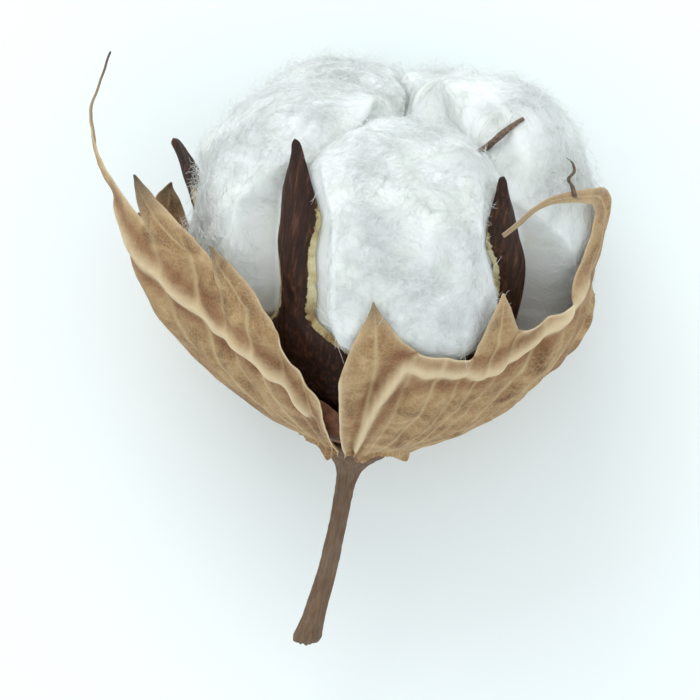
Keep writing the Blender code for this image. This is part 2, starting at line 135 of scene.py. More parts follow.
def add_node(tree, kind, links=(), **settings):
    """Add a node, set its properties and plain inputs, and link sockets into it."""
    made = tree.nodes.new(kind)
    for key, value in settings.items():
        if key in made.inputs:
            made.inputs[key].default_value = value
        elif hasattr(made, key):
            setattr(made, key, value)
        else:
            made.inputs[key.replace("_", " ")].default_value = value
    for socket, source in dict(links).items():
        tree.links.new(source, made.inputs[socket])
    return made


def new_material(name, **settings):
    """A material whose Principled shader has these plain settings."""
    made = bpy.data.materials.new(name)
    made.use_nodes = True
    shader = made.node_tree.nodes["Principled BSDF"]
    for key, value in settings.items():
        shader.inputs[key.replace("_", " ")].default_value = value
    return made, made.node_tree, shader


def face_outwards():
    """Turn all the faces of the active object outwards."""
    bpy.ops.object.mode_set(mode="EDIT")
    bpy.ops.mesh.select_all(action="SELECT")
    bpy.ops.mesh.normals_make_consistent(inside=False)
    bpy.ops.object.mode_set(mode="OBJECT")


def drawn_out(name, rows, sides, fill):
    """Extrude a circle from ring to ring, where a ring is its middle and its radius."""
    bpy.ops.object.select_all(action="DESELECT")
    bpy.ops.mesh.primitive_circle_add(vertices=sides, radius=rows[0][3], fill_type=fill,
                                      location=rows[0][:3])
    piece = take_up(name)
    bpy.ops.object.transform_apply(location=True, rotation=False, scale=False)
    bpy.ops.object.mode_set(mode="EDIT")
    bpy.ops.mesh.select_all(action="SELECT")
    for before, after in zip(rows, rows[1:]):
        bpy.ops.mesh.extrude_region_move(TRANSFORM_OT_translate={"value": tuple(after[:3] - before[:3])})
        growth = after[3] / before[3]
        bpy.ops.transform.resize(value=(growth, growth, growth), center_override=tuple(after[:3]))
    bpy.ops.object.mode_set(mode="OBJECT")
    face_outwards()
    return piece


STALK_ROWS = 90
STALK_SIDES = 40
RIB_COUNT = 5
RIB_DEPTH = 0.05
BARK_ROUGH = 0.10
BARK_KNOTS = 0.06
BROKEN_BELOW = -28.2
BREAK_DEPTH = 0.9

stalk_rows = smooth_curve(STALK, STALK_ROWS)
stalk = drawn_out("peduncle_bark", stalk_rows, STALK_SIDES, "NGON")
for vertex in stalk.data.vertices:
    height = vertex.co.z
    across = [np.interp(-height, -stalk_rows[:, 2], stalk_rows[:, axis]) for axis in (0, 1)]
    centre = Vector(across + [height])
    out = vertex.co - centre
    turn = math.atan2(out.x, -out.y)
    ribs = 1.0 + RIB_DEPTH * math.cos(RIB_COUNT * turn + 0.02 * height)
    rough = noise.noise(Vector((out.x * 1.3, out.y * 1.3, height * 0.25))) * BARK_ROUGH
    knots = noise.noise(Vector((out.x * 0.8, out.y * 0.8, height * 1.1 + 9.0))) * BARK_KNOTS
    vertex.co = centre + out * (ribs + rough + knots)
    if height < BROKEN_BELOW:
        vertex.co.z += noise.noise(Vector((out.x * 2.2, out.y * 2.2, 3.0))) * BREAK_DEPTH
apply_modifier(stalk, "SUBSURF", levels=1, render_levels=1)

# Dry bark: matt brown with long fine ridges and grey weathering along them.
bark, tree, shader = new_material("dry_stalk_bark", Roughness=0.78)
where = add_node(tree, "ShaderNodeAttribute", attribute_name="grown")
# Bark fibres about 0.3 mm apart and 5 mm long.
stretch = add_node(tree, "ShaderNodeMapping", {"Vector": where.outputs["Vector"]}, Scale=(3.0, 3.0, 0.2))
fibre = add_node(tree, "ShaderNodeTexNoise", {"Vector": stretch.outputs["Vector"]}, Scale=1.0, Detail=6.0,
                 Roughness=0.65)
# Weathered patches about 2 mm across.
patch = add_node(tree, "ShaderNodeTexNoise", {"Vector": where.outputs["Vector"]}, Scale=0.5, Detail=3.0)
tint = add_node(tree, "ShaderNodeValToRGB", {"Fac": fibre.outputs["Fac"]})
tint.color_ramp.elements[0].position = 0.30
tint.color_ramp.elements[0].color = linear("#3F2C1F")
tint.color_ramp.elements[1].position = 0.72
tint.color_ramp.elements[1].color = linear("#8A6B4E")
worn = add_node(tree, "ShaderNodeValToRGB", {"Fac": patch.outputs["Fac"]})
worn.color_ramp.elements[0].position = 0.35
worn.color_ramp.elements[0].color = linear("#664E3A")
worn.color_ramp.elements[1].position = 0.7
worn.color_ramp.elements[1].color = linear("#7E6F5E")
both = add_node(tree, "ShaderNodeMix", {6: tint.outputs["Color"], 7: worn.outputs["Color"]},
                data_type="RGBA")
both.inputs[0].default_value = 0.42
relief = add_node(tree, "ShaderNodeBump", {"Height": fibre.outputs["Fac"]}, Strength=0.5, Distance=0.0002)
tree.links.new(both.outputs[2], shader.inputs["Base Color"])
tree.links.new(relief.outputs["Normal"], shader.inputs["Normal"])
stalk.data.materials.append(bark)
lay(stalk)
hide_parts("peduncle")

# ---- Calyx --------------------------------------------------------------------------
# A low cup of five fused sepals, dried reddish brown and thin as paper, that hugs the
# base of the burr. It shows in the gaps between the bracts.
CALYX = ((4.7, 1.45), (5.6, 1.75), (9.0, 3.15), (12.0, 4.9), (14.3, 6.9), (16.4, 9.4))
CALYX_SIDES = 120
CALYX_ROWS = 20
CALYX_LOBES = 5
CALYX_LOBE_AZIMUTH = -24.0
LOBE_CUT = 0.24
RIM_WAVE = 0.03
RIM_DROP = 15.0
CALYX_RIPPLE = 0.25
CALYX_THICK = 0.25

calyx_rows = np.array([(0.0, 0.0, height, radius) for radius, height in smooth_curve(CALYX, CALYX_ROWS)])
calyx = drawn_out("calyx_cup", calyx_rows, CALYX_SIDES, "NOTHING")
for vertex in calyx.data.vertices:
    radius = math.hypot(vertex.co.x, vertex.co.y)
    turn = math.atan2(vertex.co.x, -vertex.co.y)
    share = max(0.0, (radius - CALYX[1][0]) / (CALYX[-1][0] - CALYX[1][0]))
    between = 0.5 - 0.5 * math.cos((turn - math.radians(CALYX_LOBE_AZIMUTH)) * CALYX_LOBES)
    wave = LOBE_CUT * between**0.7 + RIM_WAVE * math.cos(turn * 13.0 + 1.0)
    shrink = 1.0 - wave * share**2
    ripple = noise.noise(vertex.co * 0.45) * CALYX_RIPPLE * share
    vertex.co = Vector((vertex.co.x * shrink, vertex.co.y * shrink,
                        vertex.co.z - (1.0 - shrink) * RIM_DROP + ripple))
apply_modifier(calyx, "SOLIDIFY", thickness=CALYX_THICK, offset=0.0)
apply_modifier(calyx, "SUBSURF", levels=1, render_levels=1)

# Dry calyx: thin and matt, reddish brown with darker veins that run up from the base.
sepal, tree, shader = new_material("dry_calyx_skin", Roughness=0.7)
where = add_node(tree, "ShaderNodeAttribute", attribute_name="grown")
# Blotches about 1.5 mm across.
blotch = add_node(tree, "ShaderNodeTexNoise", {"Vector": where.outputs["Vector"]}, Scale=0.7, Detail=6.0,
                  Roughness=0.6)
tint = add_node(tree, "ShaderNodeValToRGB", {"Fac": blotch.outputs["Fac"]})
tint.color_ramp.elements[0].position = 0.32
tint.color_ramp.elements[0].color = linear("#5E3324")
tint.color_ramp.elements[1].position = 0.70
tint.color_ramp.elements[1].color = linear("#A8704F")
relief = add_node(tree, "ShaderNodeBump", {"Height": blotch.outputs["Fac"]}, Strength=0.4, Distance=0.0003)
tree.links.new(tint.outputs["Color"], shader.inputs["Base Color"])
tree.links.new(relief.outputs["Normal"], shader.inputs["Normal"])
calyx.data.materials.append(sepal)
lay(calyx)
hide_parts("calyx")

# ---- Burr valves --------------------------------------------------------------------
# The five woody walls of the burst capsule: dark, hard and ridged outside, pale and smooth
# inside, joined low down into a bowl and drawn out at the top into a thin beak. They split
# apart and bent outwards and sideways as they dried.
GAP = 0.3
# radius, height, share of the way to the next valve that the wall covers, wall thickness
BURR = (
    (4.6, 1.8, 0.93, 1.6),
    (9.0, 4.6, 0.96, 1.7),
    (14.0, 9.0, 0.97, 1.7),
    (18.3, 15.5, 0.86, 1.6),
    (20.4, 20.0, 0.36, 1.5),
    (21.6, 24.0, 0.28, 1.4),
    (22.5, 28.0, 0.27, 1.3),
    (23.1, 32.0, 0.27, 1.2),
    (23.5, 36.0, 0.26, 1.1),
    (24.0, 40.0, 0.18, 0.9),
    (24.6, 43.5, 0.09, 0.7),
    (25.6, 46.5, 0.03, 0.6),
)
BURR_HINGE = 3
BURR_SWING_OVER = 12.0
KEEL = 0.7
KEEL_FROM = 4.0
KEEL_RISE = 12.0
# height, width of the pale split margin beside the dark skin
MARGINS = ((4.0, 0.9), (14.0, 1.6), (22.0, 1.9), (30.0, 1.3), (37.0, 0.8), (42.0, 0.3), (47.0, 0.1))
MARGIN_AT_MOST = 0.55
# How deep the edges wander in, as a share of the half width, and how fast, in radians per mm.
WANDER = 0.07
WANDER_RATE = 0.62
# Depths in mm of the wall's broad wrinkles, fine wrinkles and rolled edges.
BROAD_WRINKLE = 0.40
FINE_WRINKLE = 0.22
EDGE_ROLL = 0.25
WRINKLES_FULL_AT = 8.0
TIP_TURN = 1.5
OUTER_POINTS = 18
INNER_POINTS = 12
VALVE_RINGS = 84
# The pale lining fades out over this stretch of the valve's length.
DARK_BEAK = (0.76, 0.90)
# azimuth, opening angle, length above the hinge, share of the sway
VALVES = (
    (-34.0, 0.0, 1.0, 0.0),
    (46.0, 0.0, 0.98, 1.0),
    (118.0, 4.0, 0.95, 0.4),
    (186.0, 0.0, 0.9, -0.5),
    (254.0, 20.0, 0.85, 0.0),
)
# How a valve bends sideways as it dries, as (height, degrees).
SWAY = (
    (15.5, 0.0),
    (19.0, 6.0),
    (22.0, 12.0),
    (25.0, 13.0),
    (28.0, 11.0),
    (31.0, 7.5),
    (34.6, 2.8),
    (37.6, -1.2),
    (40.0, -4.4),
    (43.5, -8.6),
    (46.5, -12.0),
)


def boll_point(radius, azimuth, height):
    """A point of the boll's frame from its cylindrical place."""
    turn = math.radians(azimuth)
    return Vector((radius * math.sin(turn), -radius * math.cos(turn), height))


def opened(radius, height, angle, length):
    """Swing a point of the burr's meridian outwards about the rim of its bowl."""
    hinge_r, hinge_z = BURR[BURR_HINGE][:2]
    if height <= hinge_z:
        return radius, height
    off_r = (radius - hinge_r) * length
    off_z = (height - hinge_z) * length
    turn = math.radians(angle) * min(1.0, off_z / BURR_SWING_OVER)
    return (hinge_r + off_r * math.cos(turn) + off_z * math.sin(turn),
            hinge_z + off_z * math.cos(turn) - off_r * math.sin(turn))


places = [valve[0] for valve in VALVES]
gaps = [(after - before) % 360.0 for before, after in zip(places, places[1:] + places[:1])]
valve_places = [(place, gaps[index - 1] / 2, gaps[index] / 2) for index, place in enumerate(places)]
burr_rows = smooth_curve(BURR, VALVE_RINGS + 1)
burr_out = np.column_stack([np.gradient(burr_rows[:, 1]), -np.gradient(burr_rows[:, 0])])
burr_out /= np.linalg.norm(burr_out, axis=1)[:, None]
# A valve's cross-section: (share of the half width, 0 outside to 1 inside).
section = [(across, 0.0) for across in np.linspace(-1.0, 1.0, OUTER_POINTS)]
section += [(1.0, 0.3), (1.0, 0.7)]
section += [(across, 1.0) for across in np.linspace(1.0, -1.0, INNER_POINTS)]
section += [(-1.0, 0.7), (-1.0, 0.3)]


def valve_point(index, side, row):
    """A point of a valve's skin: side counts round its section, row along its length."""
    azimuth, angle, length, swaying = VALVES[index]
    _, before, after = valve_places[index]
    radius, height, share, thick = burr_rows[row]
    across, depth = section[side]
    up = row / VALVE_RINGS
    sign = math.copysign(1.0, across)
    half = (after if across > 0 else before) * share - math.degrees(GAP / 2 / radius)
    wander = WANDER * (1.0 + math.sin(height * WANDER_RATE + index * 2.1 + sign * 1.4))
    half *= 1.0 - wander * min(1.0, up * 1.5)
    margin = min(np.interp(height, *zip(*MARGINS)), MARGIN_AT_MOST * radius * math.radians(half))
    spread = abs(across) * (half - math.degrees(margin * (1.0 - depth) / radius))
    keel = KEEL * (1.0 - across**2) * min(1.0, max(0.0, height - KEEL_FROM) / KEEL_RISE)
    seed = Vector((across * math.radians(half) * radius * 0.45, height * 0.09, index * 3.0))
    wrinkle = noise.noise(seed) * BROAD_WRINKLE + noise.noise(seed * 2.9) * FINE_WRINKLE
    wrinkle -= EDGE_ROLL * across**4
    lift = (keel + wrinkle * min(1.0, height / WRINKLES_FULL_AT)) * (1.0 - depth) - thick * depth
    sway = swaying * np.interp(height, *zip(*SWAY)) + math.sin(up * 5.0 + index * 2.0) * TIP_TURN * up**3
    out_r, out_z = burr_out[row] * lift
    place_r, place_z = opened(radius + out_r, height + out_z, angle, length)
    return boll_point(place_r, azimuth + sign * spread + sway, place_z)


# Burr wall: outside, a hard dark brown skin with fine long ridges and worn lighter spots;
# inside and on the split margins, smooth pale straw with olive and brown stains.
burr_wall, tree, shader = new_material("dry_burr_wall", Roughness=0.6, Specular_IOR_Level=0.3)
where = add_node(tree, "ShaderNodeAttribute", attribute_name="grown")
lined = add_node(tree, "ShaderNodeAttribute", attribute_name="lining")
# Ridges about 0.5 mm apart and 6 mm long.
stretch = add_node(tree, "ShaderNodeMapping", {"Vector": where.outputs["Vector"]}, Scale=(1.9, 1.9, 0.16))
ridge = add_node(tree, "ShaderNodeTexNoise", {"Vector": stretch.outputs["Vector"]}, Scale=1.0, Detail=7.0,
                 Roughness=0.62, Distortion=0.3)
pit = add_node(tree, "ShaderNodeTexNoise", {"Vector": where.outputs["Vector"]}, Scale=1.8, Detail=5.0)
skin = add_node(tree, "ShaderNodeValToRGB", {"Fac": ridge.outputs["Fac"]})
skin.color_ramp.elements[0].position = 0.28
skin.color_ramp.elements[0].color = linear("#1A0F0A")
skin.color_ramp.elements[1].position = 0.76
skin.color_ramp.elements[1].color = linear("#6E452E")
skin.color_ramp.elements.new(0.52).color = linear("#382015")
# Stains about 4 mm across.
stain = add_node(tree, "ShaderNodeTexNoise", {"Vector": where.outputs["Vector"]}, Scale=0.26, Detail=5.0,
                 Roughness=0.6)
straw = add_node(tree, "ShaderNodeValToRGB", {"Fac": stain.outputs["Fac"]})
straw.color_ramp.elements[0].position = 0.34
straw.color_ramp.elements[0].color = linear("#94784E")
straw.color_ramp.elements[1].position = 0.60
straw.color_ramp.elements[1].color = linear("#E0D4AE")
straw.color_ramp.elements.new(0.47).color = linear("#C4B483")
ragged = add_node(tree, "ShaderNodeMath", {0: pit.outputs["Fac"], 1: lined.outputs["Fac"]}, operation="ADD")
border = add_node(tree, "ShaderNodeMapRange", {"Value": ragged.outputs[0]}, From_Min=0.92, From_Max=1.12)
wall = add_node(tree, "ShaderNodeMix", {0: border.outputs["Result"], 6: skin.outputs["Color"],
                                        7: straw.outputs["Color"]}, data_type="RGBA")
height = add_node(tree, "ShaderNodeMath", {0: ridge.outputs["Fac"], 1: pit.outputs["Fac"]}, operation="ADD")
relief = add_node(tree, "ShaderNodeBump", {"Height": height.outputs[0]}, Strength=0.5, Distance=0.0004)
tree.links.new(wall.outputs[2], shader.inputs["Base Color"])
tree.links.new(relief.outputs["Normal"], shader.inputs["Normal"])

valves = []
for index in range(len(VALVES)):
    bpy.ops.object.select_all(action="DESELECT")
    bpy.ops.mesh.primitive_uv_sphere_add(segments=len(section), ring_count=VALVE_RINGS, radius=1.0)
    valve = take_up(f"burr_valve_{index + 1}")
    mesh = valve.data
    lining = []
    for vertex in mesh.vertices:
        row = round((0.5 + math.asin(max(-1.0, min(1.0, vertex.co.z))) / math.pi) * VALVE_RINGS)
        side = round(math.atan2(vertex.co.y, vertex.co.x) / (2 * math.pi) * len(section)) % len(section)
        if row in (0, VALVE_RINGS):
            ends = [valve_point(index, number, row) for number in range(len(section))]
            vertex.co = sum(ends, Vector()) / len(section)
        else:
            vertex.co = valve_point(index, side, row)
        beak = (row / VALVE_RINGS - DARK_BEAK[0]) / (DARK_BEAK[1] - DARK_BEAK[0])
        lining.append(min(1.0, section[side][1] * 2.5) * (1.0 - min(1.0, max(0.0, beak))))
    layer = mesh.attributes.new("lining", "FLOAT", "POINT")
    layer.data.foreach_set("value", lining)
    mesh.materials.append(burr_wall)
    face_outwards()
    apply_modifier(valve, "SUBSURF", levels=1, render_levels=1)
    lay(valve)
    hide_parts(f"valve_{index + 1}")
    valves.append(valve)

# ---- Locks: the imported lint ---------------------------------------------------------
# Five masses of raw cotton, one between each pair of valves, grown as hairs on the seeds
# that lie inside. This is the dense body of the lint; the loose fibres on it come last.
CORE_RADIUS = 11.0
LOCK_MIDDLE = 31.0
LOCK_CENTRE = (14.0, 30.0)
LINT_ROUNDING = 1.3
LINT_FULLNESS = 2.4
LINT_OVER_FLOOR = 1.3
LINT_OFF_WALL = 0.4
LINT_OFF_EDGE = 0.8
LINT_SPILL = 2.0
LINT_PARTS_FROM = 36.0
LINT_PARTS_BY = 0.0
# Above the valves the seams between the locks wander to both sides.
SEAM_WAVE = 1.1
SEAM_WAVE_FROM = 34.0
SEAM_WAVE_RISE = 6.0
SEAM_STRAIGHT_WITHIN = 8.0
LOCK_SUBDIVISIONS = 7
RAY_STEP = 1.5
RAY_END = 37.5
RAY_HALVINGS = 12
# azimuth, reach from the core circle, half width, half height
LOCKS = (
    (6.0, 18.0, 17.0, 18.0),
    (82.0, 17.0, 15.0, 24.5),
    (152.0, 18.0, 15.0, 22.0),
    (220.0, 17.0, 15.5, 21.5),
    (290.0, 16.0, 15.0, 20.5),
)
# Swellings of the lint, from whole seeds down to small tufts: how many, the lowest and the
# highest in mm, and how wide in degrees seen from the lock's centre.
SWELLINGS = ((10, 0.2, 1.4, 20.0), (70, -0.6, 0.8, 9.0), (450, -0.22, 0.24, 3.6), (2600, -0.08, 0.08, 1.5))


def wrapped(degrees):
    return (degrees + 180.0) % 360.0 - 180.0


def smooth_max(first, second, width):
    blend = np.maximum(width - np.abs(first - second), 0.0) / width
    return np.maximum(first, second) + blend**2 * width / 4


def over_table(points):
    """How high points of the boll's frame are over the table, in mm."""
    return AXIS_HEIGHT - points[..., 1] * math.cos(NOD) + points[..., 2] * math.sin(NOD)


def off_burr(radius, height, azimuth):
    """How far points lie outside the burr's inner face, negative well inside it."""
    outer = np.array([row[:2] for row in BURR])
    along = np.gradient(outer, axis=0)
    outward = np.column_stack([along[:, 1], -along[:, 0]])
    outward /= np.linalg.norm(outward, axis=1)[:, None]
    inner = outer - outward * np.array([row[3] for row in BURR])[:, None]
    inner = np.vstack([[0.0, inner[0, 1]], inner])
    best = np.full(radius.shape, 1e9)
    signed = np.zeros(radius.shape)
    for (r0, z0), (r1, z1) in zip(inner, inner[1:]):
        span = np.array([r1 - r0, z1 - z0])
        length = np.linalg.norm(span)
        share = np.clip(((radius - r0) * span[0] + (height - z0) * span[1]) / length**2, 0, 1)
        off_r = radius - r0 - share * span[0]
        off_z = height - z0 - share * span[1]
        distance = np.hypot(off_r, off_z)
        nearer = distance < best
        best = np.where(nearer, distance, best)
        signed = np.where(nearer, np.sign(off_r * span[1] - off_z * span[0]) * distance, signed)
    share = np.interp(height, [row[1] for row in BURR], [row[2] for row in BURR])
    sway = np.interp(height, *zip(*SWAY))
    beyond = np.full(radius.shape, 1e9)
    for (place, before, after), valve in zip(valve_places, VALVES):
        turn = wrapped(azimuth - place - sway * valve[3])
        edge = np.where(turn > 0, after, before) * share
        beyond = np.minimum(beyond, np.radians(np.abs(turn) - edge) * radius)
    return signed + LINT_OFF_WALL - LINT_SPILL * np.maximum(beyond - LINT_OFF_EDGE, 0.0)


def lock_walls(points, lock):
    """How far points lie beyond the planes that part a lock from its two neighbours."""
    azimuth = lock[0]
    radius = np.hypot(points[..., 0], points[..., 1])
    turn = np.radians(wrapped(np.degrees(np.arctan2(points[..., 0], -points[..., 1])) - azimuth))
    parting = GAP / 2 + LINT_PARTS_BY * np.maximum(points[..., 2] - LINT_PARTS_FROM, 0.0)
    turns = [wrapped(valve[0] - azimuth) for valve in VALVES]
    edges = ((max(place for place in turns if place < 0), -1.0),
             (min(place for place in turns if place > 0), 1.0))
    loose = SEAM_WAVE * np.clip((points[..., 2] - SEAM_WAVE_FROM) / SEAM_WAVE_RISE, 0.0, 1.0)
    walls = []
    for edge, side in edges:
        wave = np.sin(points[..., 2] * 0.5 + radius * 0.55 + math.radians(edge + azimuth) * 2.0)
        walls.append(radius * np.sin(side * (turn - math.radians(edge))) + parting
                     + side * loose * wave * np.clip(radius / SEAM_STRAIGHT_WITHIN, 0.0, 1.0))
    return walls


def lock_field(points, lock):
    """Negative inside a lock of lint, positive outside it."""
    azimuth, reach, half_width, half_height = lock
    radius = np.hypot(points[..., 0], points[..., 1])
    around = np.degrees(np.arctan2(points[..., 0], -points[..., 1]))
    turn = np.radians(wrapped(around - azimuth))
    shares = (radius * np.cos(turn) - CORE_RADIUS) / reach, radius * np.sin(turn) / half_width
    shares += ((points[..., 2] - LOCK_MIDDLE) / half_height,)
    bulge = sum(np.abs(share) ** LINT_FULLNESS for share in shares) ** (1.0 / LINT_FULLNESS)
    field = (bulge - 1.0) * half_width
    for wall in lock_walls(points, lock):
        field = smooth_max(field, wall, LINT_ROUNDING)
    field = smooth_max(field, off_burr(radius, points[..., 2], around), LINT_ROUNDING)
    return np.maximum(field, LINT_OVER_FLOOR - over_table(points))


def lock_reach(rays, centre, lock):
    """How far the lock's plain surface is from its centre along each ray."""
    steps = np.arange(RAY_STEP, RAY_END, RAY_STEP)
    field = np.stack([lock_field(centre + rays * step, lock) for step in steps], axis=1)
    first = np.argmax(field > 0.0, axis=1)
    near, far = steps[first] - RAY_STEP, steps[first]
    for _ in range(RAY_HALVINGS):
        half = (near + far) / 2
        outside = lock_field(centre + rays * half[:, None], lock) > 0.0
        far = np.where(outside, half, far)
        near = np.where(outside, near, half)
    return near


def swell(rays, draw):
    """How far the seeds and tufts push the lint out along each ray, in mm."""
    pushed = np.zeros(len(rays))
    for count, low, high, width in SWELLINGS:
        spots = draw.normal(size=(count, 3))
        spots /= np.linalg.norm(spots, axis=1)[:, None]
        heights = draw.uniform(low, high, count)
        tight = 1.0 - math.cos(math.radians(width))
        for spot, rise in zip(spots, heights):
            nearness = rays @ spot
            close = nearness > 1.0 - 6.0 * tight
            pushed[close] += rise * np.exp((nearness[close] - 1.0) / tight)
    return pushed


# Raw cotton: bright matt white, faintly dull in the hollows, and soft because light
# enters it and comes out again a millimetre or two away.
lint, tree, shader = new_material("raw_cotton_lint", Roughness=1.0, Subsurface_Weight=0.6,
                                  Subsurface_Scale=0.002, Sheen_Weight=0.3, Sheen_Roughness=0.6,
                                  Specular_IOR_Level=0.1)
shader.inputs["Subsurface Radius"].default_value = (1.0, 0.95, 0.9)
where = add_node(tree, "ShaderNodeAttribute", attribute_name="grown")
# Slightly duller patches about 4 mm across, and fibre bundles about 0.4 mm across.
cloud = add_node(tree, "ShaderNodeTexNoise", {"Vector": where.outputs["Vector"]}, Scale=0.25, Detail=5.0)
tint = add_node(tree, "ShaderNodeValToRGB", {"Fac": cloud.outputs["Fac"]})
tint.color_ramp.elements[0].position = 0.35
tint.color_ramp.elements[0].color = linear("#EEF3EC")
tint.color_ramp.elements[1].position = 0.62
tint.color_ramp.elements[1].color = linear("#F6F9F8")
bundle = add_node(tree, "ShaderNodeTexNoise", {"Vector": where.outputs["Vector"]}, Scale=2.6, Detail=6.0,
                  Roughness=0.7, Distortion=1.2)
relief = add_node(tree, "ShaderNodeBump", {"Height": bundle.outputs["Fac"]}, Strength=0.35, Distance=0.0003)
tree.links.new(tint.outputs["Color"], shader.inputs["Base Color"])
tree.links.new(relief.outputs["Normal"], shader.inputs["Normal"])

cores = []
for index, lock in enumerate(LOCKS):
    bpy.ops.object.select_all(action="DESELECT")
    bpy.ops.mesh.primitive_ico_sphere_add(subdivisions=LOCK_SUBDIVISIONS, radius=1.0)
    core = take_up(f"lock_{index + 1}_lint")
    mesh = core.data
    rays = np.empty(len(mesh.vertices) * 3)
    mesh.vertices.foreach_get("co", rays)
    rays = rays.reshape(-1, 3)
    rays /= np.linalg.norm(rays, axis=1)[:, None]
    centre = np.array(boll_point(LOCK_CENTRE[0], lock[0], LOCK_CENTRE[1]))
    reach = lock_reach(rays, centre, lock)
    surface = centre + rays * reach[:, None]
    around = np.degrees(np.arctan2(surface[:, 0], -surface[:, 1]))
    free = np.clip(-off_burr(np.hypot(surface[:, 0], surface[:, 1]), surface[:, 2], around) / 1.5, 0.0, 1.0)
    for wall in lock_walls(surface, lock):
        free *= np.clip(0.4 - wall / 2.0, 0.0, 1.0)
    free *= np.clip((over_table(surface) - LINT_OVER_FLOOR) / 2.0, 0.0, 1.0)
    reach += swell(rays, np.random.default_rng(40 + index)) * free
    mesh.vertices.foreach_set("co", (centre + rays * reach[:, None]).ravel())
    mesh.materials.append(lint)
    cores.append(core)


def joined_tree(pieces, matrix):
    """One search tree over all the faces of some pieces, with their points turned by a matrix."""
    points, faces = [], []
    for piece in pieces:
        first = len(points)
        points.extend(matrix @ vertex.co for vertex in piece.data.vertices)
        faces.extend([first + corner for corner in face.vertices] for face in piece.data.polygons)
    return BVHTree.FromPolygons(points, faces)


upright = Matrix.Identity(4)
raise_up = lie_down.inverted()
lint_tree = joined_tree(cores, upright)
valve_tree = joined_tree(valves, raise_up)

# ---- Bracts -------------------------------------------------------------------------
# Three leafy bracts that wrapped the young boll, now dry, tan and papery: a blade that
# follows the cup of the burr, torn into long teeth, with veins that run into the teeth.
CUP = (
    (5.4, 1.0),
    (9.0, 2.3),
    (14.0, 4.9),
    (18.5, 8.3),
    (22.0, 11.7),
    (25.0, 15.6),
    (27.6, 20.4),
    (29.2, 25.8),
    (29.9, 31.0),
    (30.2, 36.0),
    (30.2, 52.0),
)
BRACT_THICK = 0.22
BRACT_OFF_LINT = 0.5
BLADE_ROWS = 48
TOOTH_ROWS = 34
TOOTH_COLUMNS = 16
TOOTH_RADIUS = 30.0
TOOTH_TURN = 1.6
TOOTH_TIP_SHARE = 0.45
FLARE = (
    (1.0, 0.0),
    (2.7, 2.2),
    (5.2, 2.4),
    (9.5, 3.6),
    (13.2, 5.0),
    (18.5, 5.4),
    (22.7, 6.2),
    (28.1, 7.7),
    (35.1, 11.0),
    (42.1, 13.4),
    (52.0, 11.6),
)
FLARE_AZIMUTH = 272.0
FLARE_SPREAD = 44.0
# The lobes at the base of each blade, beside the stalk: depth, place and spread across the
# blade, and how far up it they reach.
LOBE_DROP = 1.7
LOBE_PLACE = 0.13
LOBE_SPREAD = 0.08
LOBE_REACH = 0.24
# How far out of the cup the leaf's pleats, broad and fine crumples, creases, veins, fold
# crests and curled edges stand, and how deep the valley beside a fold is.
PLEAT = 0.7
BROAD_CRUMPLE = 1.5
FINE_CRUMPLE = 0.22
CREASE = 0.9
VEIN_RISE = 0.16
FOLD_RISE = 0.9
EDGE_CURL = 0.9
VALLEY_DEPTH = 0.35
# Half the width of a fold's crest, where its valley lies and how wide that and the curl are.
FOLD_WIDTH = 0.75
VALLEY_OFF = 2.0
VALLEY_WIDTH = 1.1
CURL_WIDTH = 1.2
# How wide the pale rim is. The rim is partly the leaf's own paler margin and partly painted highlight.
RIM_WIDTH = 0.7
DEAD_FROM = 0.45
# Notches are (azimuth, height). Between two notches lies a plain edge or a tooth, which is
# a centre line of (azimuth, height, radius outside the cup), half its width at its end, how
# fast it narrows, and how dark its tip is. A fold is a crest along (azimuth, height) that
# carries a painted highlight, with painted shade in the valley beside it.
BRACTS = {
    "bract_left": {
        "notches": ((345, 10.5), (332, 19.5), (311, 25), (292, 29), (262, 27), (242, 20), (224, 9)),
        "teeth": (
            None,
            (((314, 26, 0.2), (309, 29.5, 0.6)), 0.2, 1.0, 0.7),
            (((293, 31, 0), (287, 36, -0.8)), 0.25, 1.0, 1.0),
            (((275, 33, 0), (271, 39, 0), (270, 45, 0), (269, 50.5, 0)), 0.3, 3.0, 1.0),
            (((250, 26, 0), (247, 31, 0.4)), 0.2, 1.1, 0.8),
            (((235, 20, 0), (236, 25, 0)), 0.2, 1.0, 0.5),
        ),
        "fold": ((337, 8), (331, 13), (318, 16), (305, 18), (288, 24), (278, 30)),
        "flared": True,
    },
    "bract_right": {
        "notches": ((-8, 15), (13, 21), (31, 20.5), (43, 25), (62, 29), (87, 29), (98, 11)),
        "teeth": (
            (((1, 23, 0), (-1, 27.5, 0.3)), 0.2, 1.3, 0.6),
            None,
            (((36, 25, 0.3), (34, 30.5, 0.6)), 0.2, 1.0, 0.1),
            None,
            (((77, 34, -0.6), (78, 38, -0.6), (76, 41.3, -0.2), (66, 43.5, 0.2),
              (52, 44, 0.3), (41, 43, 0.3), (30.5, 38.6, 0.3)), 0.8, 3.1, 0.4),
            (((93, 22, 0), (94, 27, 0)), 0.2, 1.1, 0.6),
        ),
        "fold": ((2, 3), (4, 9), (8, 15), (11, 18.5), (24, 18), (36, 18.2), (48, 22.5), (59, 27), (73, 31)),
        "flared": False,
    },
    "bract_back": {
        "notches": ((108, 11), (124, 22), (146, 26), (170, 28), (190, 26), (212, 11)),
        "teeth": (
            (((116, 22, 0), (115, 29, 1.0)), 0.2, 1.1, 0.7),
            (((136, 28, 0), (136, 36, 0.5)), 0.2, 1.1, 0.8),
            (((158, 31, 0), (159, 41, 0)), 0.2, 1.2, 1.0),
            (((180, 31, 0), (181, 38, 0)), 0.2, 1.1, 0.8),
            (((198, 22, 0), (199, 29, 0)), 0.2, 1.1, 0.6),
        ),
        "fold": ((150, 4), (146, 12), (136, 20), (124, 22)),
        "flared": False,
    },
}
# The map of the lint and burr that the bracts lie against, in degrees and millimetres.
MAP_TURN = 3.0
MAP_HEIGHTS = np.arange(2.0, 60.0, 1.5)
MAP_FROM = 60.0

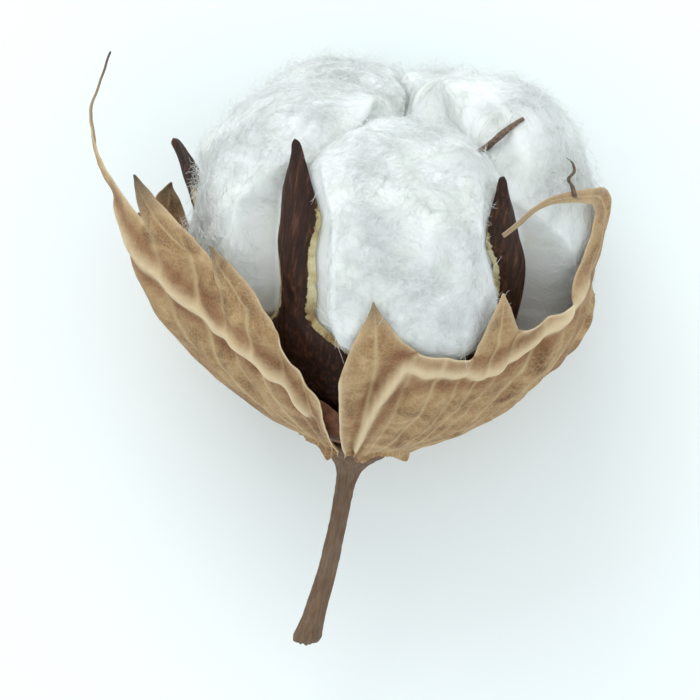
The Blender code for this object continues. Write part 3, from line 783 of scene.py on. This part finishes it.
body_map = np.zeros((int(360 / MAP_TURN), len(MAP_HEIGHTS)))
for column in range(body_map.shape[0]):
    outside = boll_point(MAP_FROM, column * MAP_TURN, 0.0)
    for row, height in enumerate(MAP_HEIGHTS):
        start = outside + Vector((0.0, 0.0, height))
        for solid in (lint_tree, valve_tree):
            hit = solid.ray_cast(start, -outside.normalized(), MAP_FROM)[0]
            if hit is not None:
                body_map[column, row] = max(body_map[column, row], math.hypot(hit.x, hit.y))
for axis in (0, 1):
    body_map = np.max([np.roll(body_map, step, axis=axis) for step in (-1, 0, 1)], axis=0)
cup_rows = smooth_curve(CUP, 200)
cup_run = np.concatenate([[0.0], np.cumsum(np.linalg.norm(np.diff(cup_rows, axis=0), axis=1))])
cup_out = np.column_stack([np.gradient(cup_rows[:, 1]), -np.gradient(cup_rows[:, 0])])
cup_out /= np.linalg.norm(cup_out, axis=1)[:, None]


def body_radius(azimuth, height):
    """Read the map of the lint and burr between its grid points."""
    across = (azimuth % 360.0) / MAP_TURN
    up = np.interp(height, MAP_HEIGHTS, range(len(MAP_HEIGHTS)))
    column, row = int(across), min(int(up), len(MAP_HEIGHTS) - 2)
    beside = (column + 1) % body_map.shape[0]
    near = body_map[column, row] * (1 - up + row) + body_map[column, row + 1] * (up - row)
    far = body_map[beside, row] * (1 - up + row) + body_map[beside, row + 1] * (up - row)
    return near + (far - near) * (across - column)


def bract_point(azimuth, height, off_cup, flared):
    """A point of a bract's mid-surface, kept off the lint and over the table."""
    radius, out_r, out_z = (float(np.interp(height, cup_rows[:, 1], column))
                            for column in (cup_rows[:, 0], cup_out[:, 0], cup_out[:, 1]))
    radius += off_cup * out_r
    height += off_cup * out_z
    if flared:
        near = min(1.0, abs(wrapped(azimuth - FLARE_AZIMUTH)) / FLARE_SPREAD)
        extra = float(np.interp(height, [z for z, _ in FLARE], [r for _, r in FLARE]))
        radius += extra * math.cos(near * math.pi / 2) ** 2
    radius = max(radius, body_radius(azimuth, height) + BRACT_OFF_LINT)
    towards_floor = -math.cos(math.radians(azimuth)) * math.cos(NOD)
    if towards_floor > 0.0:
        room = AXIS_HEIGHT + height * math.sin(NOD) - BRACT_THICK
        radius = min(radius, room / towards_floor)
    return boll_point(radius, azimuth, height)


def off_line(azimuth, height, line):
    """How far a place on the cup is from a line of places, in mm."""
    spot = Vector((math.radians(azimuth) * TOOTH_RADIUS, height))
    corners = [Vector((math.radians(a) * TOOTH_RADIUS, z)) for a, z in line]
    nearest = 1e9
    for start, end in zip(corners, corners[1:]):
        share = max(0.0, min(1.0, (spot - start).dot(end - start) / (end - start).length_squared))
        nearest = min(nearest, (spot - start - (end - start) * share).length)
    return nearest


# Dry bract: thin papery leaf, tan with brown blotches, pale veins and dark dead tips. Its rims
# are pale, partly the leaf's own margin and partly painted highlight. Its fold crests carry a
# painted highlight, and painted shade darkens the valleys beside the folds and the dents of its
# crumples. Light comes a little way through it.
paper, tree, shader = new_material("dry_bract_leaf", Roughness=0.7, Subsurface_Weight=0.15,
                                   Subsurface_Scale=0.0006, Specular_IOR_Level=0.3)
shader.inputs["Subsurface Radius"].default_value = (1.0, 0.6, 0.35)
where = add_node(tree, "ShaderNodeAttribute", attribute_name="grown")
vein, edge, dead, painted_shade = (add_node(tree, "ShaderNodeAttribute", attribute_name=label)
                            for label in ("vein", "edge", "dead", "painted_shade"))
# Blotches about 4 mm across, and cells of the leaf about 0.6 mm across.
blotch = add_node(tree, "ShaderNodeTexNoise", {"Vector": where.outputs["Vector"]}, Scale=0.24, Detail=8.0,
                  Roughness=0.66, Distortion=0.6)
tint = add_node(tree, "ShaderNodeValToRGB", {"Fac": blotch.outputs["Fac"]})
tint.color_ramp.elements[0].position = 0.30
tint.color_ramp.elements[0].color = linear("#6B4A2B")
tint.color_ramp.elements[1].position = 0.68
tint.color_ramp.elements[1].color = linear("#BD9F74")
tint.color_ramp.elements.new(0.48).color = linear("#9D7B52")
cell = add_node(tree, "ShaderNodeTexVoronoi", {"Vector": where.outputs["Vector"]}, Scale=1.6,
                feature="DISTANCE_TO_EDGE")
net = add_node(tree, "ShaderNodeMapRange", {"Value": cell.outputs["Distance"]}, From_Max=0.12, To_Min=0.22,
               To_Max=0.0)
leaf = tint.outputs["Color"]
# Mixed over the tint in turn: the pale net of cells, painted shade in the hollows, pale veins, pale rims
# that are partly painted highlight with painted highlight on the fold crests, and dark dead tips.
for share, shade in ((net.outputs["Result"], "#E0CBA6"), (painted_shade.outputs["Fac"], "#7C4A2E"),
                     (vein.outputs["Fac"], "#D0B88E"), (edge.outputs["Fac"], "#DECAA5"),
                     (dead.outputs["Fac"], "#43352C")):
    mixed = add_node(tree, "ShaderNodeMix", {0: share, 6: leaf}, data_type="RGBA")
    mixed.inputs[7].default_value = linear(shade)
    leaf = mixed.outputs[2]
height = add_node(tree, "ShaderNodeMath", {0: blotch.outputs["Fac"], 1: net.outputs["Result"]},
                  operation="ADD")
relief = add_node(tree, "ShaderNodeBump", {"Height": height.outputs[0]}, Strength=0.6, Distance=0.0003)
tree.links.new(leaf, shader.inputs["Base Color"])
tree.links.new(relief.outputs["Normal"], shader.inputs["Normal"])

bracts = []
for number, (name, shape) in enumerate(BRACTS.items()):
    notches, teeth, flared = shape["notches"], shape["teeth"], shape["flared"]
    columns = len(teeth) * TOOTH_COLUMNS
    rows = BLADE_ROWS + TOOTH_ROWS
    bpy.ops.object.select_all(action="DESELECT")
    bpy.ops.mesh.primitive_grid_add(x_subdivisions=columns, y_subdivisions=rows, size=2.0)
    bract = take_up(f"{name}_leaf")
    mesh = bract.data
    # Split the grid between teeth, and take away its top where an edge has no tooth.
    bpy.ops.object.mode_set(mode="EDIT")
    bpy.ops.mesh.select_all(action="DESELECT")
    bpy.ops.mesh.select_mode(type="EDGE")
    bpy.ops.object.mode_set(mode="OBJECT")
    grid = [(round((v.co.x + 1) / 2 * columns), round((v.co.y + 1) / 2 * rows)) for v in mesh.vertices]
    for line in mesh.edges:
        (c0, r0), (c1, r1) = (grid[corner] for corner in line.vertices)
        between_teeth = 0 < c0 < columns and c0 % TOOTH_COLUMNS == 0
        line.select = c0 == c1 and between_teeth and min(r0, r1) >= BLADE_ROWS
    bpy.ops.object.mode_set(mode="EDIT")
    bpy.ops.mesh.edge_split(type="EDGE")
    bpy.ops.mesh.select_all(action="DESELECT")
    bpy.ops.mesh.select_mode(type="FACE")
    bpy.ops.object.mode_set(mode="OBJECT")
    for face in mesh.polygons:
        tooth = min(int((face.center.x + 1) / 2 * len(teeth)), len(teeth) - 1)
        face.select = teeth[tooth] is None and (face.center.y + 1) / 2 * rows > BLADE_ROWS
    bpy.ops.object.mode_set(mode="EDIT")
    bpy.ops.mesh.delete(type="FACE")
    bpy.ops.object.mode_set(mode="OBJECT")
    # Which tooth each point belongs to is told by a face that it is part of.
    owner = {}
    for face in mesh.polygons:
        for corner in face.vertices:
            owner[corner] = min(int((face.center.x + 1) / 2 * len(teeth)), len(teeth) - 1)
    knots = np.linspace(0, columns, len(notches))
    lines = [None if tooth is None else
             smooth_curve(((*np.mean(notches[index:index + 2], axis=0), 0.0), *tooth[0]), TOOTH_ROWS + 1)
             for index, tooth in enumerate(teeth)]
    looks = {"vein": [], "edge": [], "dead": [], "painted_shade": []}
    draw = Vector((number * 11.0, 3.0, 7.0))
    for vertex in mesh.vertices:
        column = round((vertex.co.x + 1) / 2 * columns)
        row = round((vertex.co.y + 1) / 2 * rows)
        azimuth = float(np.interp(column, knots, [n[0] for n in notches]))
        top = float(np.interp(column, knots, [n[1] for n in notches]))
        tooth = owner[vertex.index]
        within = (column - tooth * TOOTH_COLUMNS) / TOOTH_COLUMNS
        span = np.subtract(notches[tooth + 1], notches[tooth])
        span_mm = math.hypot(math.radians(span[0]) * TOOTH_RADIUS, span[1])
        from_side = min(column, columns - column) / TOOTH_COLUMNS * span_mm
        # Veins run up the middle of each tooth, and a thinner one to each notch.
        vein_here = math.exp(-(((within - 0.5) / 0.04) ** 2))
        vein_here += 0.6 * math.exp(-((min(within, 1 - within) / 0.035) ** 2)) * (row < BLADE_ROWS)
        pleat = (abs(math.sin((within - 0.5) * 2 * math.pi)) - 0.5) * PLEAT
        share = 0.0
        if row <= BLADE_ROWS:
            up = row / BLADE_ROWS
            run = float(np.interp(top, cup_rows[:, 1], cup_run))
            height = float(np.interp(run * up, cup_run, cup_rows[:, 1]))
            place = [azimuth, height, 0.0]
            from_edge = min(from_side, run * (1.0 - up) if teeth[tooth] is None else from_side)
        else:
            up = 1.0
            share = (row - BLADE_ROWS) / TOOTH_ROWS
            _, tip_half_width, narrowing, _ = teeth[tooth]
            here, before = lines[tooth][row - BLADE_ROWS], lines[tooth][row - BLADE_ROWS - 1]
            narrow = (1.0 - share) ** narrowing
            turned = min(1.0, share * TOOTH_TURN)
            tip = tip_half_width * (1.0 - (1.0 - TOOTH_TIP_SHARE) * share)
            half_width = math.copysign((span_mm / 2 * narrow + tip) * turned, span[0])
            ahead = (here - before)[:2] * (math.radians(TOOTH_RADIUS), 1.0)
            ahead /= np.linalg.norm(ahead)
            across = (within * 2 - 1) * half_width
            middle = lines[tooth][0]
            kept = np.array([azimuth - middle[0], top - middle[1]]) * narrow * (1.0 - turned)
            place = [here[0] + kept[0] + math.degrees(across * ahead[1] / TOOTH_RADIUS),
                     here[1] + kept[1] - across * ahead[0], here[2]]
            from_edge = min(within, 1 - within) * 2 * (span_mm / 2 * narrow + tip) + 0.35
            pleat *= narrow
        spot = Vector((math.radians(place[0]) * TOOTH_RADIUS, place[1], 0.0))
        crumple = noise.noise(spot * 0.11 + draw) * BROAD_CRUMPLE
        crumple += noise.noise(spot * 0.75 + draw) * FINE_CRUMPLE
        crumple += (0.45 - abs(noise.noise(spot * 0.30 + draw))) * CREASE
        fold_off = off_line(place[0], place[1], shape["fold"])
        fold = math.exp(-((fold_off / FOLD_WIDTH) ** 2))
        valley = math.exp(-(((fold_off - VALLEY_OFF) / VALLEY_WIDTH) ** 2))
        curl = math.exp(-from_edge / CURL_WIDTH) * (share == 0.0)
        place[2] += (pleat + crumple) * min(1.0, up * 1.5) * (1.0 - 0.6 * share)
        place[2] += VEIN_RISE * vein_here + fold * FOLD_RISE - valley * VALLEY_DEPTH + curl * EDGE_CURL
        point = bract_point(*place, flared)
        side = column / columns
        lobe = math.exp(-(((min(side, 1 - side) - LOBE_PLACE) / LOBE_SPREAD) ** 2))
        point.z -= LOBE_DROP * lobe * max(0.0, 1.0 - up / LOBE_REACH) ** 1.3
        vertex.co = point
        looks["vein"].append(min(1.0, vein_here) * 0.6)
        # Pale rim: partly the leaf's own paler margin, partly painted highlight. Fold crest: painted
        # highlight.
        looks["edge"].append(min(1.0, 0.9 * math.exp(-from_edge / RIM_WIDTH) + 0.95 * fold))
        darkness = 0.0 if teeth[tooth] is None else teeth[tooth][3]
        dying = max(0.0, (share - DEAD_FROM) / (1.0 - DEAD_FROM))
        looks["dead"].append(darkness * dying**1.2 * 0.95)
        # Painted shade: darker reddish brown in the valleys beside the folds and in the dents of the
        # crumples.
        looks["painted_shade"].append(min(1.0, 0.5 * valley + 0.45 * max(0.0, -crumple - 0.1)))
    for label, values in looks.items():
        layer = mesh.attributes.new(label, "FLOAT", "POINT")
        layer.data.foreach_set("value", values)
    face_outwards()
    apply_modifier(bract, "SOLIDIFY", thickness=BRACT_THICK, offset=0.0)
    apply_modifier(bract, "SUBSURF", levels=1, render_levels=1)
    mesh.materials.append(paper)
    bracts.append(bract)

# ---- Loose fibres -------------------------------------------------------------------
# The lint's skin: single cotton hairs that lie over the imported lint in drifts, loop up
# from it and stand off at the outline. A real hair is about 0.02 mm thick. It is drawn two
# to three times as thick, so that it shows.
LYING_HAIRS = 3500
STANDING_HAIRS = 1400
HAIR_POINTS = 7
HAIR_SIDES = 3
LYING_RADIUS = 0.022
STANDING_RADIUS = 0.026
HAIR_OVER_TABLE = 0.4
# How far a hair's heading strays in radians, how much it bends per mm, and its shortest and
# longest step in mm, for a lying hair and a standing one.
LYING = (0.55, 0.16, 0.8, 1.9)
STANDING = (1.6, 0.55, 0.35, 0.8)
STANDING_RISE = (0.3, 2.3)
LYING_RISE = 0.20


def hairs_to_mesh(name, paths, radii):
    """A mesh of closed three-sided tubes, tapered to both ends, along paths of points."""
    paths = np.array(paths)
    count, points = paths.shape[:2]
    along = np.gradient(paths, axis=1)
    along /= np.linalg.norm(along, axis=2)[..., None]
    side = np.cross(along, np.array([0.31, 0.52, 0.79]))
    side /= np.linalg.norm(side, axis=2)[..., None]
    other = np.cross(along, side)
    taper = np.sin(np.linspace(0.12, 0.88, points) * math.pi) ** 0.5 * np.array(radii)[:, None]
    corners = []
    for number in range(HAIR_SIDES):
        turn = 2 * math.pi * number / HAIR_SIDES
        corners.append(paths + (math.cos(turn) * side + math.sin(turn) * other) * taper[..., None])
    vertices = np.stack(corners, axis=2).reshape(-1, 3)
    quads = []
    for row in range(points - 1):
        for number in range(HAIR_SIDES):
            beside = (number + 1) % HAIR_SIDES
            low, high = row * HAIR_SIDES, (row + 1) * HAIR_SIDES
            quads.append((low + number, low + beside, high + beside, high + number))
    last = (points - 1) * HAIR_SIDES
    caps = [(2, 1, 0), (last, last + 1, last + 2)]
    mesh = bpy.data.meshes.new(name)
    offsets = (np.arange(count) * points * HAIR_SIDES)[:, None, None]
    quad_faces = (np.array(quads)[None] + offsets).reshape(-1, 4)
    cap_faces = (np.array(caps)[None] + offsets).reshape(-1, 3)
    mesh.vertices.add(len(vertices))
    mesh.vertices.foreach_set("co", vertices.ravel())
    mesh.loops.add(quad_faces.size + cap_faces.size)
    mesh.loops.foreach_set("vertex_index", np.concatenate([quad_faces.ravel(), cap_faces.ravel()]))
    mesh.polygons.add(len(quad_faces) + len(cap_faces))
    starts = np.concatenate([np.arange(len(quad_faces)) * 4,
                             quad_faces.size + np.arange(len(cap_faces)) * 3])
    mesh.polygons.foreach_set("loop_start", starts)
    mesh.update(calc_edges=True)
    mesh.validate()
    made = bpy.data.objects.new(name, mesh)
    bpy.context.scene.collection.objects.link(made)
    return made


def hindered(path):
    """Whether a path goes through a valve or a bract, or too near the table."""
    if min(over_table(np.array(path))) < HAIR_OVER_TABLE:
        return True
    for start, end in zip(path, path[1:]):
        way = end - start
        if any(solid.ray_cast(start, way.normalized(), way.length)[0] is not None
               for solid in (valve_tree, bract_tree)):
            return True
    return False


def grow_hair(spot, draw, standing):
    """The path of one hair that starts at a spot on the lint."""
    _, normal, _, _ = lint_tree.find_nearest(spot)
    stray, curl, shortest, longest = STANDING if standing else LYING
    drift = noise.noise_vector(spot * 0.13)
    heading = drift - normal * drift.dot(normal)
    heading = Matrix.Rotation(draw.normal(0.0, stray), 3, normal) @ heading.normalized()
    bend = draw.normal(0.0, curl)
    step = draw.uniform(shortest, longest)
    rise = draw.uniform(*STANDING_RISE) if standing else abs(draw.normal(0.0, LYING_RISE))
    lean = draw.normal(0.0, 0.35)
    path = []
    for point in range(HAIR_POINTS):
        share = point / (HAIR_POINTS - 1)
        lift = rise * share**1.2 if standing else rise * math.sin(math.pi * share) + 0.02
        path.append(spot + normal * (lift - 0.05) + heading.cross(normal) * lean * rise * share**2)
        heading = Matrix.Rotation((bend + draw.normal(0.0, 0.16)) * step, 3, normal) @ heading
        spot, normal, _, _ = lint_tree.find_nearest(spot + heading * step)
        heading = (heading - normal * heading.dot(normal)).normalized()
    return path


# Cotton hair: one thin wall of cellulose, clear and white.
hair, tree, shader = new_material("cotton_hair", Roughness=0.9, Sheen_Weight=0.2, Specular_IOR_Level=0.2)
where = add_node(tree, "ShaderNodeAttribute", attribute_name="grown")
cloud = add_node(tree, "ShaderNodeTexNoise", {"Vector": where.outputs["Vector"]}, Scale=0.3, Detail=3.0)
tint = add_node(tree, "ShaderNodeValToRGB", {"Fac": cloud.outputs["Fac"]})
tint.color_ramp.elements[0].position = 0.35
tint.color_ramp.elements[0].color = linear("#F2F6F3")
tint.color_ramp.elements[1].position = 0.62
tint.color_ramp.elements[1].color = linear("#FCFEFD")
tree.links.new(tint.outputs["Color"], shader.inputs["Base Color"])

bract_tree = joined_tree(bracts, upright)
# One seed for the field that the hairs drift along, and one for where each hair grows.
noise.seed_set(7)
draw = np.random.default_rng(7)
for index, (lock, core) in enumerate(zip(LOCKS, cores)):
    mesh = core.data
    weights = np.empty(len(mesh.polygons))
    mesh.polygons.foreach_get("area", weights)
    centres = np.empty(len(mesh.polygons) * 3)
    mesh.polygons.foreach_get("center", centres)
    centres = centres.reshape(-1, 3)
    around = np.degrees(np.arctan2(centres[:, 0], -centres[:, 1]))
    shown = -off_burr(np.hypot(centres[:, 0], centres[:, 1]), centres[:, 2], around) > 0.25
    for wall in lock_walls(centres, lock):
        shown &= wall < -0.35
    shown &= over_table(centres) > LINT_OVER_FLOOR + 1.0
    weights = weights * shown
    chosen = draw.choice(len(centres), LYING_HAIRS + STANDING_HAIRS, p=weights / weights.sum())
    paths, radii = [], []
    for order, place in enumerate(chosen):
        standing = order >= LYING_HAIRS
        path = grow_hair(Vector(centres[place]), draw, standing)
        if not hindered(path):
            paths.append(path)
            radii.append(STANDING_RADIUS if standing else LYING_RADIUS)
    fluff = hairs_to_mesh(f"lock_{index + 1}_fluff", paths, radii)
    fluff.data.materials.append(hair)
    lay(fluff)
for index, core in enumerate(cores):
    lay(core)
    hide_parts(f"lock_{index + 1}")
for bract, name in zip(bracts, BRACTS):
    lay(bract)
    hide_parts(name)

# ---- Dead tips ----------------------------------------------------------------------
# A thin dry strip torn from a bract tooth is caught on the lint, and a dead thread of the
# leaf's edge curls up from the tooth that hooks over the boll.
THREAD = (
    (25.2, -18.9, 44.0, 0.42),
    (24.6, -19.6, 45.6, 0.34),
    (23.9, -20.0, 46.6, 0.28),
    (24.5, -20.2, 47.8, 0.24),
    (24.1, -20.4, 49.0, 0.20),
    (23.2, -20.5, 49.6, 0.08),
)
THREAD_SIDES = 10

# Dead bract tip: dark grey brown, dull, with streaks about 0.5 mm across.
dark_tip, tree, shader = new_material("dead_bract_tip", Roughness=0.8)
where = add_node(tree, "ShaderNodeTexCoord")
streak = add_node(tree, "ShaderNodeTexNoise", {"Vector": where.outputs["Object"]}, Scale=2000.0, Detail=4.0)
tint = add_node(tree, "ShaderNodeValToRGB", {"Fac": streak.outputs["Fac"]})
tint.color_ramp.elements[0].position = 0.3
tint.color_ramp.elements[0].color = linear("#4A372C")
tint.color_ramp.elements[1].position = 0.7
tint.color_ramp.elements[1].color = linear("#86705E")
tree.links.new(tint.outputs["Color"], shader.inputs["Base Color"])
sliver = nodes["bract_sliver"]
sliver.data.materials.clear()
sliver.data.materials.append(dark_tip)

thread_rows = smooth_curve(THREAD, 24)
root = Vector(thread_rows[0][:3])
thread_rows[:, :3] += bract_tree.find_nearest(root)[0] - root
thread = drawn_out("bract_right_thread", thread_rows, THREAD_SIDES, "NGON")
thread.data.materials.append(dark_tip)
lay(thread)

# ---- Table, light and camera --------------------------------------------------------
# A plain white table under wide soft studio light, seen from straight above.
TABLE_SIZE = 4.0
CAMERA_HEIGHT = 1.5
BOLL_MIDDLE = 0.025
FIELD = 0.098

bpy.ops.object.select_all(action="DESELECT")
bpy.ops.mesh.primitive_plane_add(size=TABLE_SIZE)
table = take_up("table")
matt_white, tree, shader = new_material("matt_white_table", Roughness=0.9, Specular_IOR_Level=0.1)
shader.inputs["Base Color"].default_value = linear("#F6FCFC")
table.data.materials.append(matt_white)

world = bpy.data.worlds.new("studio")
bpy.context.scene.world = world
world.use_nodes = True
world.node_tree.nodes["Background"].inputs["Color"].default_value = linear("#F6FCFF")
world.node_tree.nodes["Background"].inputs["Strength"].default_value = 1.01


def area_light(name, place, size, power):
    """A square soft box that faces the middle of the boll."""
    lamp = bpy.data.lights.new(name, "AREA")
    lamp.size = size
    lamp.energy = power
    made = bpy.data.objects.new(name, lamp)
    made.location = place
    aim = Vector((0.0, 0.0, BOLL_MIDDLE)) - Vector(place)
    made.rotation_euler = aim.to_track_quat("-Z", "Y").to_euler()
    bpy.context.scene.collection.objects.link(made)


area_light("key", (-0.35, 1.0, 0.9), 0.8, 5.5)

bpy.context.scene.view_settings.view_transform = "Standard"
lens = bpy.data.cameras.new("camera")
lens.sensor_width = 36.0
lens.lens = lens.sensor_width * (CAMERA_HEIGHT - BOLL_MIDDLE) / FIELD
camera = bpy.data.objects.new("camera", lens)
camera.location = (0.0, 0.0, CAMERA_HEIGHT)
bpy.context.scene.collection.objects.link(camera)
bpy.context.scene.camera = camera
